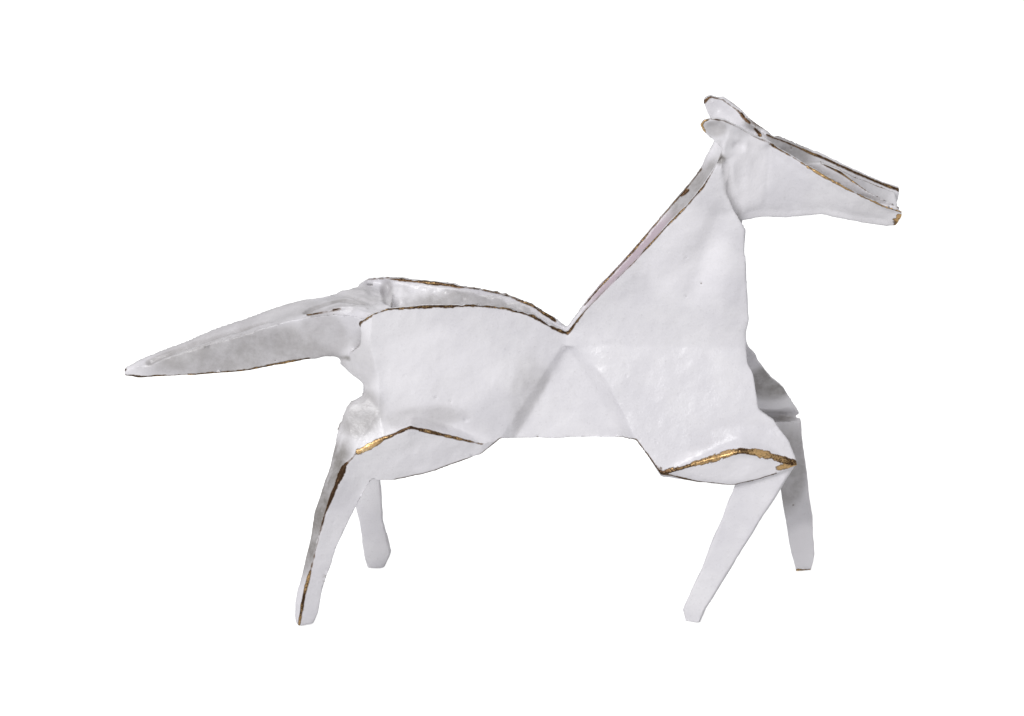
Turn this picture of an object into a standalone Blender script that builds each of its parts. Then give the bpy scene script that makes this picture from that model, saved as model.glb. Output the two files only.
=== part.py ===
"""A trotting horse, folded from sheet as in paper folding and cast in brass as one piece.

Two folded sides hang from shallow pleats along the back and the mane, and stay open underneath.
Each side is one patch of flat facets, thickened straight inwards, so its fold corners are all it
needs. X runs from tail to nose, Y across with the far side at +Y, Z up from the soles of the feet.
"""

import bpy
import bmesh
from mathutils import Vector
from mathutils.geometry import tessellate_polygon

# Driving sizes, in metres
LENGTH = 0.230
SHEET = 0.0020
PLEAT_SHEET = 0.0022
MUZZLE_SHEET = 0.0014
TONGUE_LIP = 0.0009
LEG_DEPTH = 0.0036
TAIL_WALL = 0.0014

# Shares of those sizes
PLEAT_INSET = 0.6
LEG_BACK_SHARE = 0.55
LEG_FRONT_SHARE = 0.7

# The pose is drawn on a grid with 230 steps from tail to nose
STEP = LENGTH / 230
# The middle plane of the body lies this many steps to the near side of the middle of the feet
MIDDLE = -0.8

NEAR = -1
FAR = 1

WHITE_LACQUER = ("white_lacquer", (0.83, 0.82, 0.84, 1.0), 0.28, 0.0)

# Large panels are flat. Each one's half width is given at the dip of the back,
# then how much it grows for every step forwards and for every step upwards.
DIP = (17.0, 86.4)
DIP_HALF = 2.6
FLANK_LEAN = (-0.225, -0.09)
SHOULDER_LEAN = (0.037, -0.39)
LOW_NECK_LEAN = (0.057, 0.026)
HIGH_NECK_LEAN = (-0.042, 0.18)

# Corners on the flat panels: (along, height)
FLANK_CORNERS = {
    "dip": DIP,
    "dip_rear": (13.0, 88.4),
    "loin_front": (6.2, 92.9),
    "loin": (-0.6, 95.3),
    "loin_rear": (-9.4, 97.0),
    "rump_top": (-23.0, 97.7),
    "croup_top": (-36.0, 98.0),
    "croup_high": (-40.4, 96.6),
    "rear_fold": (-41.4, 86.8),
    "buttock_fold": (-38.8, 76.6),
    "hip": (-38.6, 67.4),
    "hip_fold": (-28.6, 65.2),
    "stifle_fold": (-15.4, 59.6),
    "flank_edge_low": (-2.8, 55.4),
    "flank_edge_top": (15.4, 82.6),
}
SHOULDER_CORNERS = {
    "shoulder_edge_top": (19.6, 82.6),
    "shoulder_edge": (28.6, 73.6),
    "shoulder_edge_low": (37.2, 57.0),
    "knee_rear": (44.6, 47.7),
    "knee_fold": (68.4, 58.4),
    "knee_fold_front": (76.0, 56.8),
    "arm_point": (82.6, 57.0),
    "arm_top": (78.0, 62.9),
    "breast_low": (73.6, 65.8),
    "breast": (72.6, 72.0),
    "chest": (71.2, 83.8),
}
LOW_NECK_CORNERS = {
    "neck_front_low": (70.4, 90.8),
    "neck_front": (69.4, 105.2),
}
HIGH_NECK_CORNERS = {
    "throat_back": (68.5, 120.2),
    "neck_crease_low": (66.0, 125.0),
    "neck_crease": (63.4, 131.6),
    "neck_top": (63.4, 142.0),
    "poll_top": (61.6, 146.4),
    "poll": (59.8, 141.4),
    "mane_top": (56.1, 134.0),
    "mane_high": (51.1, 127.5),
    "mane_middle": (45.9, 121.7),
    "mane_low": (36.3, 109.8),
    "withers_top": (26.6, 99.2),
    "withers": (22.1, 94.0),
}

# Corners off those panels: (along, half width, height)
REAR_CORNERS = {
    "croup": (-43.8, 13.0, 93.8),
    "dock_side": (-44.6, 13.4, 85.8),
    "buttock": (-40.9, 14.6, 76.0),
    "dock_under": (-51.2, 4.6, 77.4),
    "buttock_edge": (-47.2, 7.4, 74.2),
    "buttock_end": (-43.5, 10.4, 72.8),
    "gaskin_nook": (-43.2, 12.4, 70.6),
    "hock_high": (-47.4, 14.0, 69.2),
    "hock_back": (-49.8, 14.8, 66.0),
    "shank_back": (-53.4, 16.8, 49.7),
    "shank_ridge": (-48.6, 20.2, 51.6),
}
THIGH_CORNERS = {
    "thigh_ridge_rear": (-45.0, 20.2, 55.0),
    "thigh_ridge_high": (-37.0, 21.0, 60.0),
    "thigh_ridge_peak": (-29.4, 21.2, 63.7),
    "thigh_ridge_low": (-19.0, 17.6, 59.6),
    "thigh_ridge_front": (-8.0, 12.6, 54.8),
    "thigh_under_front": (-8.6, 11.6, 50.9),
    "thigh_under": (-25.5, 15.0, 46.6),
    "thigh_low": (-34.4, 16.6, 44.8),
    "thigh_low_rear": (-40.0, 17.4, 44.8),
}
BELLY_CORNERS = {
    "belly_apex": (17.4, 1.7, 81.4),
    "belly_rear": (1.2, 7.0, 54.5),
    "belly_front": (33.2, 9.2, 55.5),
}
KNEE_CORNERS = {
    "knee_tip": (85.0, 18.8, 50.6),
    "knee_ridge_front": (77.0, 20.4, 54.2),
    "knee_peak": (68.2, 20.8, 55.9),
    "knee_ridge": (57.0, 20.0, 52.4),
    "knee_under_rear": (55.2, 16.6, 44.4),
    "knee_under": (66.2, 16.6, 43.0),
    "knee_under_front": (78.8, 17.4, 47.2),
}
HEAD_CORNERS = {
    "ear_tip": (54.7, 12.6, 153.4),
    "ear_back": (55.7, 12.9, 155.0),
    "ear_top": (57.9, 12.9, 155.6),
    "ear_middle": (61.8, 12.1, 154.8),
    "ear_hollow": (59.0, 11.5, 152.6),
    "ear_front": (66.4, 9.8, 151.9),
    "brow_back": (70.0, 7.2, 149.0),
    "brow": (75.4, 4.9, 145.7),
    "brow_front": (81.8, 6.6, 142.5),
    "bridge_top": (87.0, 8.0, 139.4),
    "bridge": (93.0, 9.2, 136.1),
    "bridge_low": (101.4, 9.9, 131.8),
    "nose_back": (109.4, 10.3, 128.2),
    "nose_top": (114.6, 10.4, 126.6),
    "nose_front": (114.5, 9.6, 124.2),
    "nose_low": (113.0, 6.8, 120.9),
    "lip": (110.4, 6.1, 120.4),
    "chin": (103.6, 4.8, 121.2),
    "jaw_front": (91.2, 2.8, 123.4),
    "jaw": (81.4, 1.6, 121.8),
    "jaw_rear": (74.2, 2.2, 122.1),
    "throat": (66.6, 3.4, 121.2),
    "cheek": (61.6, 6.9, 130.0),
    "cheek_high": (61.2, 10.5, 138.6),
    "ear_root": (62.0, 11.8, 145.4),
    "ear_notch": (59.2, 12.2, 148.2),
    "ear_low": (55.6, 12.3, 151.6),
    "temple": (69.3, 8.7, 143.7),
}

SIDE_FACETS = (
    # flank
    ("dip", "dip_rear", "loin_front", "loin", "loin_rear", "rump_top", "croup_top", "croup_high",
     "rear_fold", "buttock_fold", "hip", "hip_fold", "stifle_fold", "flank_edge_low", "flank_edge_top"),
    # rear strip and the back of the shank
    ("croup_high", "croup", "dock_side", "rear_fold"),
    ("rear_fold", "dock_side", "buttock", "buttock_fold"),
    ("buttock_fold", "buttock", "hip"),
    ("dock_side", "buttock", "buttock_edge", "dock_under"),
    ("buttock", "hip", "gaskin_nook", "buttock_end", "buttock_edge"),
    ("hip", "thigh_ridge_rear", "hock_back", "hock_high", "gaskin_nook"),
    ("hock_back", "thigh_ridge_rear", "shank_ridge", "shank_back"),
    # thigh
    ("hip", "hip_fold", "thigh_ridge_peak", "thigh_ridge_high", "thigh_ridge_rear"),
    ("hip_fold", "stifle_fold", "thigh_ridge_low", "thigh_ridge_peak"),
    ("stifle_fold", "flank_edge_low", "thigh_ridge_front", "thigh_ridge_low"),
    ("thigh_ridge_front", "flank_edge_low", "thigh_under_front"),
    ("thigh_ridge_low", "thigh_ridge_front", "thigh_under_front", "thigh_under"),
    ("thigh_ridge_peak", "thigh_ridge_low", "thigh_under", "thigh_low"),
    ("thigh_ridge_high", "thigh_ridge_peak", "thigh_low"),
    ("thigh_ridge_rear", "thigh_ridge_high", "thigh_low", "thigh_low_rear"),
    # belly, sunk between its two bands
    ("dip", "shoulder_edge_top", "belly_apex", "flank_edge_top"),
    ("flank_edge_top", "belly_apex", "belly_rear", "flank_edge_low"),
    ("belly_apex", "belly_front", "belly_rear"),
    ("belly_apex", "shoulder_edge_top", "shoulder_edge", "shoulder_edge_low", "belly_front"),
    # shoulder and knee
    ("dip", "chest", "breast", "breast_low", "arm_top", "arm_point", "knee_fold_front", "knee_fold",
     "knee_rear", "shoulder_edge_low", "shoulder_edge", "shoulder_edge_top"),
    ("knee_rear", "knee_fold", "knee_peak", "knee_ridge"),
    ("knee_fold", "knee_fold_front", "knee_ridge_front", "knee_peak"),
    ("knee_fold_front", "arm_point", "knee_tip", "knee_ridge_front"),
    ("knee_rear", "knee_ridge", "knee_under_rear"),
    ("knee_ridge", "knee_peak", "knee_under", "knee_under_rear"),
    ("knee_peak", "knee_ridge_front", "knee_under_front", "knee_under"),
    ("knee_ridge_front", "knee_tip", "knee_under_front"),
    # neck
    ("dip", "throat_back", "neck_front", "neck_front_low", "chest"),
    ("dip", "withers", "withers_top", "mane_low", "mane_middle", "mane_high", "mane_top", "poll", "poll_top",
     "neck_top", "neck_crease", "neck_crease_low", "throat_back"),
)
HEAD_FACETS = (
    ("ear_tip", "ear_back", "ear_top", "ear_hollow"),
    ("ear_top", "ear_middle", "ear_hollow"),
    ("ear_hollow", "ear_middle", "ear_root", "ear_notch"),
    ("ear_tip", "ear_hollow", "ear_notch", "ear_low"),
    ("ear_middle", "ear_front", "ear_root"),
    ("ear_root", "ear_front", "brow_back", "temple"),
    ("cheek_high", "ear_root", "temple"),
    ("cheek", "cheek_high", "temple", "throat"),
    ("temple", "brow_back", "brow"),
    ("throat", "temple", "brow", "jaw_rear"),
    ("jaw_rear", "brow", "brow_front", "jaw"),
    ("jaw", "brow_front", "bridge_top", "jaw_front"),
    ("jaw_front", "bridge_top", "bridge", "chin"),
    ("chin", "bridge", "bridge_low", "lip"),
    ("lip", "bridge_low", "nose_back"),
    ("lip", "nose_back", "nose_top", "nose_front", "nose_low"),
)

# What differs on the side behind: its hock sits lower and its shoulder reaches further forward
FAR_FLANK_CORNERS = {
    "dip_rear": (13.4, 89.0),
    "loin_front": (6.8, 93.5),
    "loin": (-0.6, 96.0),
    "loin_rear": (-9.4, 97.6),
    "rump_top": (-23.0, 98.2),
    "croup_top": (-37.4, 98.8),
    "croup_high": (-42.6, 98.0),
}
FAR_SHOULDER_CORNERS = {
    "breast": (74.4, 73.6),
    "breast_low": (78.8, 67.2),
    "arm_top": (82.8, 63.4),
    "arm_point": (86.0, 57.6),
    "knee_fold_front": (77.6, 57.2),
}
FAR_CORNERS = {
    "croup": (-45.4, 12.4, 96.7),
    "gaskin_nook": (-44.6, 12.8, 61.2),
    "hock_high": (-48.8, 13.8, 58.2),
    "hock_back": (-51.0, 14.8, 52.8),
    "shank_back": (-51.8, 16.8, 46.4),
    "shank_ridge": (-47.4, 19.6, 47.0),
    "thigh_ridge_rear": (-45.6, 19.8, 51.4),
    "knee_tip": (88.0, 18.8, 53.4),
    "knee_under_front": (80.8, 17.4, 48.4),
    "ear_tip": (56.8, 12.2, 153.6),
    "ear_back": (57.2, 12.4, 154.6),
    "ear_top": (58.8, 12.4, 155.5),
    "ear_middle": (62.4, 11.8, 154.6),
    "ear_hollow": (61.0, 12.4, 152.0),
    "ear_low": (58.0, 12.0, 150.4),
    "ear_front": (66.4, 10.4, 152.0),
    "brow": (75.0, 4.7, 146.2),
    "brow_front": (81.8, 6.8, 142.9),
    "bridge_top": (87.0, 8.4, 140.0),
    "bridge": (93.0, 9.8, 136.9),
    "bridge_low": (101.4, 10.6, 132.8),
    "nose_back": (109.4, 11.1, 129.2),
    "nose_top": (115.0, 11.2, 127.0),
    "nose_front": (115.0, 10.4, 124.6),
    "jaw": (81.6, 1.4, 122.0),
    "chin": (103.8, 4.6, 121.3),
}

# A leg is a folded strip. Each station gives its height, then (along, half width) of its back edge,
# of the fold that runs down it, and of its front edge. Its inner face is a little narrower.
LEG_TUCK = 0.3
NEAR_HIND_LEG = (
    (58.0, (-50.4, 15.0), (-44.6, 18.6), (-35.2, 15.4)),
    (54.4, (-51.6, 15.8), (-45.6, 20.0), (-36.0, 16.4)),
    (50.0, (-53.3, 16.9), (-49.3, 20.4), (-37.6, 17.0)),
    (44.0, (-55.2, 18.0), (-51.8, 20.9), (-41.4, 17.4)),
    (36.0, (-57.8, 18.8), (-54.9, 21.4), (-46.0, 18.2)),
    (24.5, (-60.4, 19.6), (-57.9, 22.0), (-51.4, 19.8)),
    (10.0, (-63.6, 20.2), (-61.5, 22.6), (-56.0, 21.0)),
    (0.0, (-65.0, 20.4), (-63.4, 22.8), (-58.3, 21.4)),
)
FAR_HIND_LEG = (
    (55.0, (-49.8, 14.8), (-46.5, 17.4), (-34.0, 14.4)),
    (44.0, (-51.2, 17.0), (-48.4, 19.4), (-38.4, 17.0)),
    (31.0, (-49.4, 19.4), (-47.2, 21.6), (-39.6, 19.8)),
    (17.0, (-46.5, 21.0), (-44.7, 23.0), (-38.8, 21.6)),
    (6.0, (-45.5, 22.0), (-43.6, 24.0), (-36.9, 22.8)),
    (0.0, (-44.8, 22.6), (-43.2, 24.4), (-38.4, 23.4)),
)
NEAR_FORE_LEG = (
    (50.0, (68.2, 13.4), (84.2, 16.4), (85.2, 15.2)),
    (43.4, (66.8, 14.8), (80.4, 17.0), (81.4, 15.8)),
    (31.0, (62.5, 16.2), (73.2, 18.0), (74.2, 16.8)),
    (15.5, (56.9, 17.4), (64.2, 19.0), (65.2, 17.8)),
    (4.0, (51.4, 18.2), (57.8, 19.8), (58.8, 18.6)),
    (0.0, (52.3, 18.4), (56.4, 19.8), (57.2, 18.8)),
)
FAR_FORE_LEG = (
    (52.0, (74.0, 14.8), (85.0, 17.8), (88.4, 17.2)),
    (42.0, (79.0, 16.4), (87.0, 19.2), (89.4, 18.6)),
    (28.0, (82.8, 18.6), (89.4, 21.4), (91.6, 20.8)),
    (17.0, (84.6, 20.2), (91.0, 22.6), (93.2, 22.0)),
    (5.0, (86.6, 21.4), (92.4, 23.8), (94.4, 23.2)),
    (0.0, (87.9, 21.6), (91.8, 23.8), (93.6, 23.2)),
)

# The tail is a folded channel, open below. Each station gives along, half width and height of its top
# edges, how much higher the far one stands, rise of its crown, depth and width of the pocket beside the
# near edge, half width and height below.
TAIL = (
    (-34.8, 12.4, 93.6, 2.4, 1.6, 0.4, 2.0, 8.0, 84.0),
    (-43.6, 12.0, 94.4, 2.4, 2.0, 0.8, 3.2, 8.4, 81.6),
    (-46.6, 10.8, 94.9, 1.2, 1.4, 2.6, 4.4, 7.4, 79.8),
    (-52.6, 8.6, 94.6, 0.4, 0.7, 2.4, 4.0, 5.8, 79.0),
    (-59.6, 7.0, 93.0, 0.6, 0.3, 0.6, 1.6, 5.0, 79.0),
    (-66.0, 6.4, 91.3, 0.8, 0.2, 0.2, 0.8, 4.8, 77.6),
    (-72.0, 6.0, 89.4, 0.9, 0.2, 0.4, 0.9, 4.5, 76.0),
    (-79.5, 5.5, 86.6, 1.0, 0.2, 0.8, 1.2, 4.1, 74.5),
    (-89.0, 4.9, 83.8, 0.8, 0.2, 1.0, 1.4, 3.6, 73.4),
    (-98.0, 4.0, 80.2, 0.4, 0.2, 0.8, 1.2, 3.0, 72.6),
    (-108.0, 2.5, 76.7, 0.0, 0.2, 0.4, 0.8, 2.1, 72.0),
    (-115.0, 1.4, 74.4, 0.0, 0.3, -0.1, 0.6, 1.2, 71.9),
)
# The width of the near lip, and shares of the pocket, the crown and the half width
TAIL_LIP = 0.5
LIP_FALL = 0.1
POCKET_FLOOR = 0.4
CROWN_EDGE = 0.5
CROWN_SEAT = 0.1
# The hollow below: its least half width as a share of the outer one, how far its roof goes up,
# and the half width at which it goes up that far
LEAST_HOLLOW = 0.15
HOLLOW_ROOF = 0.5
FULL_HOLLOW = 2.0

# Floors of the pleats on the middle plane, under the fold corners beside them: (along, height)
BACK_FLOOR = {
    "croup_top": (-35.6, 93.2),
    "rump_rear": (-33.4, 89.6),
    "rump_top": (-23.0, 90.8),
    "loin_rear": (-9.4, 91.8),
    "loin": (-0.6, 91.2),
    "loin_front": (6.2, 90.0),
    "dip_rear": (13.2, 86.8),
    "dip": (18.0, 85.2),
}
RUMP_REAR = (-33.4, 98.0)
MANE_FLOOR = {
    "dip": (18.0, 85.2),
    "withers": (23.2, 92.8),
    "withers_top": (27.8, 97.8),
    "mane_low": (38.6, 108.0),
    "mane_middle": (48.8, 119.4),
    "mane_high": (54.4, 125.2),
    "mane_top": (59.2, 131.8),
    "poll": (63.0, 139.2),
    "poll_top": (65.0, 144.4),
}
# How far a pleat's lips move (along, up) from the fold corners, and the way its thickness goes
BACK_SINK = (0.0, -0.8)
MANE_SINK = (0.5, -0.4)
DOWN = Vector((0, 0, -1))
INTO_NECK = Vector((0.76, 0, -0.65))
# The pleat between the ears and the brow:
# (along, half width, height) of its lip, (along, height) of its floor
BROW_PLEAT = (
    ((63.4, 10.4, 145.0), (64.6, 138.0)),
    ((68.4, 7.4, 143.0), (69.0, 137.6)),
    ((72.0, 5.4, 146.6), (72.6, 143.4)),
    ((75.4, 4.0, 144.9), (75.8, 143.6)),
    ((79.0, 4.7, 142.6), (79.4, 140.4)),
)
# The floor of the muzzle, given in the same way
MUZZLE_FLOOR = (
    ((84.0, 1.5, 125.2), (84.0, 124.8)),
    ((91.2, 2.3, 125.2), (91.2, 124.8)),
    ((103.6, 4.3, 123.0), (103.6, 122.7)),
    ((110.4, 5.5, 122.1), (110.4, 121.8)),
    ((112.4, 5.9, 122.2), (112.4, 121.9)),
)
# The tongue that stands on it, one closed blade behind and two open lips in front:
# (along, half width of the mouth, height, height of the mouth's floor, half width and height of the foot)
MUZZLE_TONGUE = (
    (84.0, 0.2, 138.4, 138.7, 1.0, 126.0),
    (91.0, 0.3, 138.6, 138.0, 1.5, 125.0),
    (97.0, 0.6, 135.8, 134.8, 2.2, 124.2),
    (100.4, 1.8, 133.6, 130.6, 2.8, 123.6),
    (104.8, 4.8, 131.2, 126.4, 3.6, 122.8),
    (110.2, 6.2, 128.7, 124.2, 4.6, 122.2),
    (113.8, 6.9, 127.2, 123.4, 5.2, 122.2),
)


def point(along, across, height):
    """A point given in grid steps, in metres."""
    return Vector((along, MIDDLE + across, height)) * STEP


def on_panel(corners, lean):
    """Adds half widths to (along, height) corners so that they all lie on one flat panel."""
    forwards, upwards = lean
    placed = {}
    for name, (along, height) in corners.items():
        half = DIP_HALF + forwards * (along - DIP[0]) + upwards * (height - DIP[1])
        placed[name] = (along, half, height)
    return placed


def mesh_object(name, mesh):
    """Turns a bmesh into an object whose faces point outwards."""
    bmesh.ops.recalc_face_normals(mesh, faces=mesh.faces)
    data = bpy.data.meshes.new(name)
    mesh.to_mesh(data)
    mesh.free()
    obj = bpy.data.objects.new(name, data)
    bpy.context.scene.collection.objects.link(obj)
    return obj


def thicken(name, mesh, shift):
    """Closes an open patch into a shell: the patch, a copy moved by shift, and walls along its rim."""
    made = bmesh.ops.extrude_face_region(mesh, geom=mesh.faces[:], use_keep_orig=True)
    moved = [item for item in made["geom"] if isinstance(item, bmesh.types.BMVert)]
    bmesh.ops.translate(mesh, verts=moved, vec=shift)
    return mesh_object(name, mesh)


def side_shell(name, side, corners, facets):
    """One folded side. Its facets are cut into triangles as seen square on, so none can overlap."""
    mesh = bmesh.new()
    verts = {}
    for facet in facets:
        for key in facet:
            if key not in verts:
                along, half, height = corners[key]
                verts[key] = mesh.verts.new(point(along, side * half, height))
    for facet in facets:
        outline = [Vector((corners[key][0], corners[key][2], 0.0)) for key in facet]
        for triangle in tessellate_polygon([outline]):
            mesh.faces.new([verts[facet[i]] for i in triangle])
    bmesh.ops.recalc_face_normals(mesh, faces=mesh.faces)
    return thicken(name, mesh, Vector((0, -side * SHEET, 0)))


def panel_corners(side):
    """Every corner on the flat panels of one side."""
    shoulder = {**SHOULDER_CORNERS, **(FAR_SHOULDER_CORNERS if side == FAR else {})}
    flank = {**FLANK_CORNERS, **(FAR_FLANK_CORNERS if side == FAR else {})}
    return {
        **on_panel(LOW_NECK_CORNERS, LOW_NECK_LEAN),
        **on_panel(HIGH_NECK_CORNERS, HIGH_NECK_LEAN),
        **on_panel(shoulder, SHOULDER_LEAN),
        **on_panel(flank, FLANK_LEAN),
    }


def build_side(side):
    """Flank, thigh, belly, shoulder, knee and neck of one side, as one shell."""
    far = FAR_CORNERS if side == FAR else {}
    loose = {**REAR_CORNERS, **THIGH_CORNERS, **BELLY_CORNERS, **KNEE_CORNERS, **far}
    return side_shell("side_panel", side, {**panel_corners(side), **loose}, SIDE_FACETS)


def build_head(side):
    """One side of the head with its ear, folded over the top of the neck."""
    far = FAR_CORNERS if side == FAR else {}
    return side_shell("head_panel", side, {**HEAD_CORNERS, **far}, HEAD_FACETS)


def build_pleat(name, lips, floor, shift):
    """A strip with a V section: from the near lip down to the floor and back up to the far lip."""
    mesh = bmesh.new()
    rows = []
    for (along, half, height), (low_along, low_height) in zip(lips, floor):
        row = (point(along, -half, height), point(low_along, 0.0, low_height), point(along, half, height))
        rows.append([mesh.verts.new(corner) for corner in row])
    for back, front in zip(rows, rows[1:]):
        mesh.faces.new((back[0], front[0], front[1], back[1]))
        mesh.faces.new((back[1], front[1], front[2], back[2]))
    bmesh.ops.triangulate(mesh, faces=mesh.faces[:])
    return thicken(name, mesh, shift)


def fold_pleat(name, fold, floor, sink, shift):
    """The pleat under a fold: its lips lie inside the two sides, sunk a little below their edges."""
    inset = PLEAT_INSET * SHEET / STEP
    lips = []
    for key in floor:
        along, half, height = fold[key]
        lips.append((along + sink[0], half - inset, height + sink[1]))
    return build_pleat(name, lips, list(floor.values()), shift)


def loft(name, rings):
    """A closed solid through rings that all have the same number of corners."""
    mesh = bmesh.new()
    rows = [[mesh.verts.new(corner) for corner in ring] for ring in rings]
    count = len(rows[0])
    for upper, lower in zip(rows, rows[1:]):
        for i in range(count):
            j = (i + 1) % count
            mesh.faces.new((upper[i], upper[j], lower[j], lower[i]))
    mesh.faces.new(rows[0])
    mesh.faces.new(rows[-1])
    bmesh.ops.triangulate(mesh, faces=mesh.faces[:], ngon_method="EAR_CLIP")
    return mesh_object(name, mesh)


def build_leg(name, side, stations):
    """A leg folded down its length, with a flat inner face and a flat sole."""
    depth = LEG_DEPTH / STEP
    rings = []
    for height, back, ridge, front in stations:
        inner_back = (back[0] + LEG_TUCK, back[1] - LEG_BACK_SHARE * depth)
        inner_front = (front[0] - LEG_TUCK, front[1] - LEG_FRONT_SHARE * depth)
        section = (back, ridge, front, inner_front, inner_back)
        rings.append([point(along, side * half, height) for along, half in section])
    return loft(name, rings)


def build_tongue():
    """The folded tongue between the sides of the muzzle."""
    lip = TONGUE_LIP / STEP
    rings = []
    for along, mouth, top, floor, foot, low in MUZZLE_TONGUE:
        outer = mouth + lip
        section = (
            (-outer, top),
            (-mouth, top),
            (0.0, floor),
            (mouth, top),
            (outer, top),
            (foot, low),
            (-foot, low),
        )
        rings.append([point(along, across, height) for across, height in section])
    return loft("muzzle_tongue", rings)


def build_tail():
    """The tail, from its root between the two croups to its blunt tip."""
    wall = TAIL_WALL / STEP
    rings = []
    for along, half, top, far_rise, crown, pocket, width, half_low, low in TAIL:
        hollow = max(LEAST_HOLLOW * half_low, half_low - wall)
        roof = low + HOLLOW_ROOF * (top - low) * min(1.0, hollow / FULL_HOLLOW)
        lip = TAIL_LIP - half
        section = (
            (-half, top),
            (lip, top - LIP_FALL * pocket),
            (lip + POCKET_FLOOR * width, top - pocket),
            (lip + width, top + CROWN_EDGE * crown),
            (CROWN_SEAT * half, top + crown),
            (half, top + far_rise),
            (half_low, low),
            (hollow, low),
            (0.0, roof),
            (-hollow, low),
            (-half_low, low),
        )
        rings.append([point(along, across, height) for across, height in section])
    return loft("tail", rings)


def build_plies():
    """Every overlapping ply of the folded form."""
    fold = panel_corners(NEAR)
    fold.update(on_panel({"rump_rear": RUMP_REAR}, FLANK_LEAN))
    return [
        build_side(NEAR),
        build_side(FAR),
        build_head(NEAR),
        build_head(FAR),
        fold_pleat("back_pleat", fold, BACK_FLOOR, BACK_SINK, DOWN * PLEAT_SHEET),
        fold_pleat("mane_pleat", fold, MANE_FLOOR, MANE_SINK, INTO_NECK * PLEAT_SHEET),
        build_pleat("brow_pleat", *zip(*BROW_PLEAT), DOWN * PLEAT_SHEET),
        build_pleat("muzzle_floor", *zip(*MUZZLE_FLOOR), DOWN * MUZZLE_SHEET),
        build_tongue(),
        build_leg("near_hind_leg", NEAR, NEAR_HIND_LEG),
        build_leg("far_hind_leg", FAR, FAR_HIND_LEG),
        build_leg("near_fore_leg", NEAR, NEAR_FORE_LEG),
        build_leg("far_fore_leg", FAR, FAR_FORE_LEG),
        build_tail(),
    ]


def cast(name, plies):
    """Joins the plies into the one solid that the foundry pours."""
    solid, *rest = plies
    solid.name = name
    mould = bpy.data.collections.new("plies")
    bpy.context.scene.collection.children.link(mould)
    for ply in rest:
        bpy.context.scene.collection.objects.unlink(ply)
        mould.objects.link(ply)
        ply.hide_render = True
        ply.display_type = "WIRE"
    join = solid.modifiers.new("Join plies", "BOOLEAN")
    join.operation = "UNION"
    join.operand_type = "COLLECTION"
    join.collection = mould
    join.solver = "EXACT"
    return solid


def lacquer(obj):
    """Gives the casting its white lacquer."""
    name, colour, roughness, metallic = WHITE_LACQUER
    material = bpy.data.materials.new(name)
    material.use_nodes = True
    shader = material.node_tree.nodes["Principled BSDF"]
    shader.inputs["Base Color"].default_value = colour
    shader.inputs["Roughness"].default_value = roughness
    shader.inputs["Metallic"].default_value = metallic
    obj.data.materials.append(material)


def main():
    for old in list(bpy.data.objects):
        bpy.data.objects.remove(old)
    lacquer(cast("horse_casting", build_plies()))


main()
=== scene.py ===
# %% [markdown]
# # A folded horse in enamelled brass
#
# The real piece looks like a horse folded from one sheet of paper. It is one brass casting, and it
# was then coated all over with thick white enamel. The enamel pools in the valleys of the folds,
# is rubbed off along the ridges, and leaves the brass bare there as thin broken lines.
#
# The solid from the drawing office gives every facet and ridge. What it can't give is the hand in
# the finish: softened ridges, fillets of enamel, slow waves in the flat panels and fine orange
# peel. This script adds those to a copy of the solid, by working out where every point of its
# surface moves, and then paints enamel and brass on it.

import bmesh
import bpy
import numpy as np
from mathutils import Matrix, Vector
from mathutils.bvhtree import BVHTree
from mathutils.kdtree import KDTree


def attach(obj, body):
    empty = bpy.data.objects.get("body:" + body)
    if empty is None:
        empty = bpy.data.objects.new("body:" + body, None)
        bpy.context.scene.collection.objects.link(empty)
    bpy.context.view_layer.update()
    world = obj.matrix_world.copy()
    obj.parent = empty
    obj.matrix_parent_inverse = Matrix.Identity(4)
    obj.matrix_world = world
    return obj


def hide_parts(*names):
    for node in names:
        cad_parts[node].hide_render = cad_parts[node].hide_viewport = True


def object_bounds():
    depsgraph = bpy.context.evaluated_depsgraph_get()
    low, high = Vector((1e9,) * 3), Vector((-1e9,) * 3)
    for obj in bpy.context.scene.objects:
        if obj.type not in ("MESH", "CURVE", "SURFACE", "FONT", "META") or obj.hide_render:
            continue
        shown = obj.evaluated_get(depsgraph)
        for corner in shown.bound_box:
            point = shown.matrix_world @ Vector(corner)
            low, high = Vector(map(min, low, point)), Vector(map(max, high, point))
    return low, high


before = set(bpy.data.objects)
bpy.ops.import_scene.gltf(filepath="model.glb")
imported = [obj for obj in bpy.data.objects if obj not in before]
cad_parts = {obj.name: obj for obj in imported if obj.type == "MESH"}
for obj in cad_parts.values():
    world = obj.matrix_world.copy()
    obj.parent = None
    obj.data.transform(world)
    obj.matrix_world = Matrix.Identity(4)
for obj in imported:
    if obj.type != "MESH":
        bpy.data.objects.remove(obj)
cad_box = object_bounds()
MM = 0.001
LOW = np.array(cad_box[0]) / MM
HIGH = np.array(cad_box[1]) / MM
print("solid, mm:", np.round(LOW, 1), "to", np.round(HIGH, 1))

# %% [markdown]
# ## The surface to work on
#
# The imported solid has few, long triangles. A copy of it is merged and then laid out again as an
# even net of small quads, fine enough to take the softening. The net is drawn back onto the solid's
# own facets afterwards, so that the flat panels stay where the drawing has them. Bevels on the
# edges would be the other way, but where many thin facets meet, a bevel breaks down. The shelves
# over the thigh and the knee are thinner than the net can hold, so the corners under them are
# lowered first.

# %% Even net over the solid
GRID = 0.5
MERGE_WITHIN = 1e-6


def merged_copy(node):
    """The node's mesh with the seams between its facets closed, as a new mesh."""
    mesh = node.data.copy()
    work = bmesh.new()
    work.from_mesh(mesh)
    bmesh.ops.remove_doubles(work, verts=work.verts, dist=MERGE_WITHIN)
    work.to_mesh(mesh)
    work.free()
    return mesh


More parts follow.
